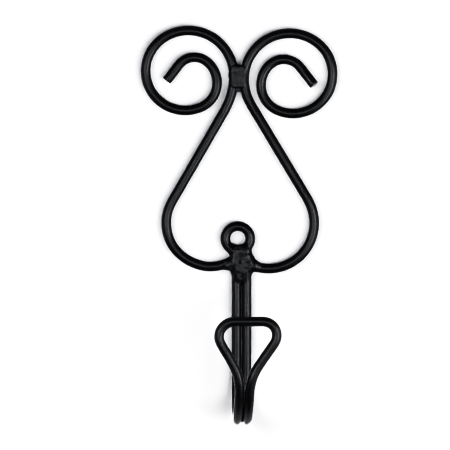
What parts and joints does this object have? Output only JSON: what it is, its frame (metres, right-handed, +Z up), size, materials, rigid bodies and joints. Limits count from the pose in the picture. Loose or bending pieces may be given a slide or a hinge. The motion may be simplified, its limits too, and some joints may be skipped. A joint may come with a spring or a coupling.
{
  "type": "scroll wall hook",
  "caption": "Black wrought-iron wall hook: two scrolls of round bar form a heart-shaped frame, with a screw eye and a hairpin hook that ends in a triangular bow.",
  "frame": {"origin": "centre of the screw eye's hole, on the wall", "axes": "+Z up as it hangs, the wall is the plane Y = 0 and +Y points into it, the hook stands out along -Y, +X to the right as seen from the front"},
  "size_m": [0.0993, 0.0513, 0.2021],
  "materials": {
    "painted_bar": "satin black paint on round steel bar",
    "painted_weld": "satin black paint on lumpy weld metal"
  },
  "bodies": {
    "root": {"left_scroll_bar": "painted_bar", "right_scroll_bar": "painted_bar", "hook_bar": "painted_bar", "eye_loop": "painted_bar", "waist_weld": "painted_weld", "eye_neck_weld": "painted_weld", "shank_weld": "painted_weld", "left_foot_weld": "painted_weld", "right_foot_weld": "painted_weld"}
  },
  "joints": []
}
